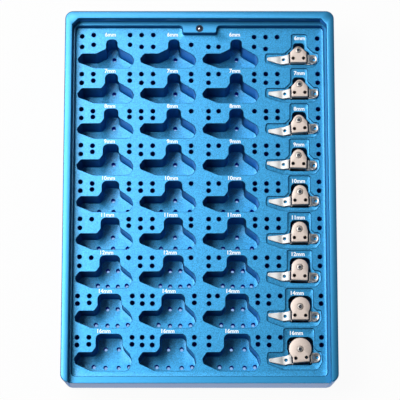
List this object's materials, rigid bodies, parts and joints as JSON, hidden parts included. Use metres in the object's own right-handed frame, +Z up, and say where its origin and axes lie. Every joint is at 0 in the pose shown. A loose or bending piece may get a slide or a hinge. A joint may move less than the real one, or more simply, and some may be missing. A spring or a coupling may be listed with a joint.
{
  "type": "instrument tray",
  "caption": "Blue anodised instrument tray with boot-shaped pockets in rising sizes, drain holes, a rimmed slide-in lid way with a ball detent, and eared metal spacers that lift out.",
  "frame": {"origin": "centre of the tray's footprint at its underside", "axes": "+Z up, +Y towards the closed back, -Y towards the open front, +X to the right"},
  "size_m": [0.185, 0.2554, 0.0465],
  "materials": {
    "blue_anodised": "bead-blasted and blue anodised",
    "spacer_matte": "matte, warm grey",
    "spacer_polished": "polished steel",
    "steel": "satin",
    "dark_steel": "blackened",
    "polished_ball": "polished"
  },
  "bodies": {
    "tray": {"tray_block": "blue_anodised", "plunger_sleeve": "dark_steel", "plunger_spring": "steel"},
    "detent_ball": {"plunger_ball": "polished_ball"},
    "spacer_06": {"spacer_face_06": "spacer_matte", "spacer_ears_06": "spacer_polished", "spacer_body_06": "spacer_matte", "spacer_screw_06": "steel"},
    "spacer_07": {"spacer_face_07": "spacer_matte", "spacer_ears_07": "spacer_polished", "spacer_body_07": "spacer_matte", "spacer_screw_07": "steel"},
    "spacer_08": {"spacer_face_08": "spacer_matte", "spacer_ears_08": "spacer_polished", "spacer_body_08": "spacer_matte", "spacer_screw_08": "steel"},
    "spacer_09": {"spacer_face_09": "spacer_matte", "spacer_ears_09": "spacer_polished", "spacer_body_09": "spacer_matte", "spacer_screw_09": "steel"},
    "spacer_10": {"spacer_face_10": "spacer_matte", "spacer_ears_10": "spacer_polished", "spacer_body_10": "spacer_matte", "spacer_screw_10": "steel"},
    "spacer_11": {"spacer_face_11": "spacer_matte", "spacer_ears_11": "spacer_polished", "spacer_body_11": "spacer_matte", "spacer_screw_11": "steel"},
    "spacer_12": {"spacer_face_12": "spacer_matte", "spacer_ears_12": "spacer_polished", "spacer_body_12": "spacer_matte", "spacer_screw_12": "steel"},
    "spacer_14": {"spacer_face_14": "spacer_matte", "spacer_ears_14": "spacer_polished", "spacer_body_14": "spacer_matte", "spacer_screw_14": "steel"},
    "spacer_16": {"spacer_face_16": "spacer_matte", "spacer_ears_16": "spacer_polished", "spacer_body_16": "spacer_matte", "spacer_screw_16": "steel"}
  },
  "joints": [
    {"name": "spacer_06_lift", "type": "slide", "parent": "tray", "child": "spacer_06", "axis": [0, 0, 1], "range_m": [0, 0.045]},
    {"name": "spacer_07_lift", "type": "slide", "parent": "tray", "child": "spacer_07", "axis": [0, 0, 1], "range_m": [0, 0.045]},
    {"name": "spacer_08_lift", "type": "slide", "parent": "tray", "child": "spacer_08", "axis": [0, 0, 1], "range_m": [0, 0.045]},
    {"name": "spacer_09_lift", "type": "slide", "parent": "tray", "child": "spacer_09", "axis": [0, 0, 1], "range_m": [0, 0.045]},
    {"name": "spacer_10_lift", "type": "slide", "parent": "tray", "child": "spacer_10", "axis": [0, 0, 1], "range_m": [0, 0.045]},
    {"name": "spacer_11_lift", "type": "slide", "parent": "tray", "child": "spacer_11", "axis": [0, 0, 1], "range_m": [0, 0.045]},
    {"name": "spacer_12_lift", "type": "slide", "parent": "tray", "child": "spacer_12", "axis": [0, 0, 1], "range_m": [0, 0.045]},
    {"name": "spacer_14_lift", "type": "slide", "parent": "tray", "child": "spacer_14", "axis": [0, 0, 1], "range_m": [0, 0.045]},
    {"name": "spacer_16_lift", "type": "slide", "parent": "tray", "child": "spacer_16", "axis": [0, 0, 1], "range_m": [0, 0.045]},
    {"name": "detent_ball_press", "type": "slide", "parent": "tray", "child": "detent_ball", "axis": [0, 0, -1], "range_m": [0, 0.0005], "stiffness_N_per_m": 2000, "springref_m": -0.001, "deforming": ["plunger_spring"]}
  ]
}
